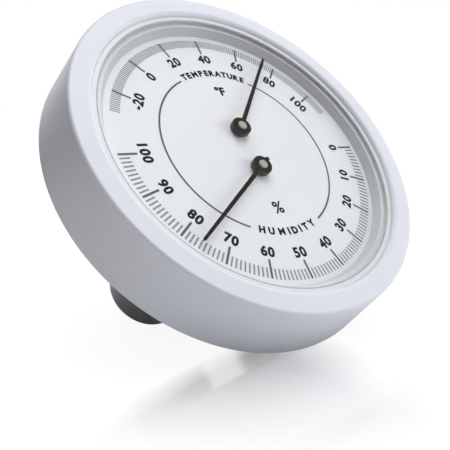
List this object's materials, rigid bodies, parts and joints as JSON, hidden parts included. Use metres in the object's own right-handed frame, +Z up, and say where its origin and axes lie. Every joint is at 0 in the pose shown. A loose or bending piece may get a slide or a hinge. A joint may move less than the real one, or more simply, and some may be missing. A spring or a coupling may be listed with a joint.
{
  "type": "thermo-hygrometer",
  "caption": "Round table thermo-hygrometer: light case with a flat rim, glass over a white dial, a pointer for each scale, leaning back on two round rear legs.",
  "frame": {"origin": "on the ground, under the middle of the standing instrument's box", "axes": "+Z up, +X to the reader's right, -Y towards the reader; the dial faces -Y and leans back 41.1 degrees"},
  "size_m": [0.1298, 0.1008, 0.1108],
  "materials": {
    "case_plastic": "satin moulded, cool white",
    "lens_glass": "clear polished",
    "seal_rubber": "matt",
    "flange_plastic": "satin, grey white",
    "dial_enamel": "satin white with grey and black printing",
    "movement_plastic": "matt, black",
    "foot_rubber": "matt, dark grey",
    "pointer_lacquer": "satin black lacquer",
    "coil_strip": "rolled strip",
    "cap_metal": "turned",
    "brass": "turned and stamped",
    "plated_steel": "zinc plated"
  },
  "bodies": {
    "case": {"case_shell": "case_plastic", "lens": "lens_glass", "lens_gasket": "seal_rubber", "inner_flange": "flange_plastic", "dial_plate": "dial_enamel", "movement_plate": "movement_plastic", "movement_screws": "plated_steel", "thermometer_bush": "brass", "hygrometer_bush": "brass", "thermometer_bridge": "brass", "hygrometer_bridge": "brass", "bridge_screws": "plated_steel", "rear_cover": "case_plastic", "cover_screws": "plated_steel", "hanger_plate": "plated_steel", "hanger_rivets": "plated_steel", "left_leg": "case_plastic", "right_leg": "case_plastic", "left_foot": "foot_rubber", "right_foot": "foot_rubber", "leg_screws": "plated_steel", "leg_washers": "plated_steel"},
    "thermometer_setting": {"thermometer_adjuster": "brass", "thermometer_coil": "coil_strip"},
    "thermometer_needle": {"thermometer_collet": "brass", "thermometer_spindle": "plated_steel", "thermometer_pointer": "pointer_lacquer", "thermometer_cap": "cap_metal"},
    "hygrometer_setting": {"hygrometer_adjuster": "brass", "hygrometer_coil": "coil_strip"},
    "hygrometer_needle": {"hygrometer_collet": "brass", "hygrometer_spindle": "plated_steel", "hygrometer_pointer": "pointer_lacquer", "hygrometer_cap": "cap_metal"}
  },
  "joints": [
    {"name": "thermometer_adjust", "type": "hinge", "parent": "case", "child": "thermometer_setting", "pos_m": [0, 0.00072, 0.06556], "axis": [0, 0.7536, -0.6574], "range_deg": [-8, 8]},
    {"name": "thermometer_reading", "type": "hinge", "parent": "thermometer_setting", "child": "thermometer_needle", "pos_m": [0, 0.00072, 0.06556], "axis": [0, 0.7536, -0.6574], "range_deg": [-120.6, 37.2], "stiffness_Nm_per_rad": 0.008, "deforming": ["thermometer_coil"]},
    {"name": "hygrometer_adjust", "type": "hinge", "parent": "case", "child": "hygrometer_setting", "pos_m": [0, -0.0098, 0.0535], "axis": [0, 0.7536, -0.6574], "range_deg": [-8, 8]},
    {"name": "hygrometer_reading", "type": "hinge", "parent": "hygrometer_setting", "child": "hygrometer_needle", "pos_m": [0, -0.0098, 0.0535], "axis": [0, 0.7536, -0.6574], "range_deg": [-156.2, 42.4], "stiffness_Nm_per_rad": 0.008, "deforming": ["hygrometer_coil"]}
  ]
}
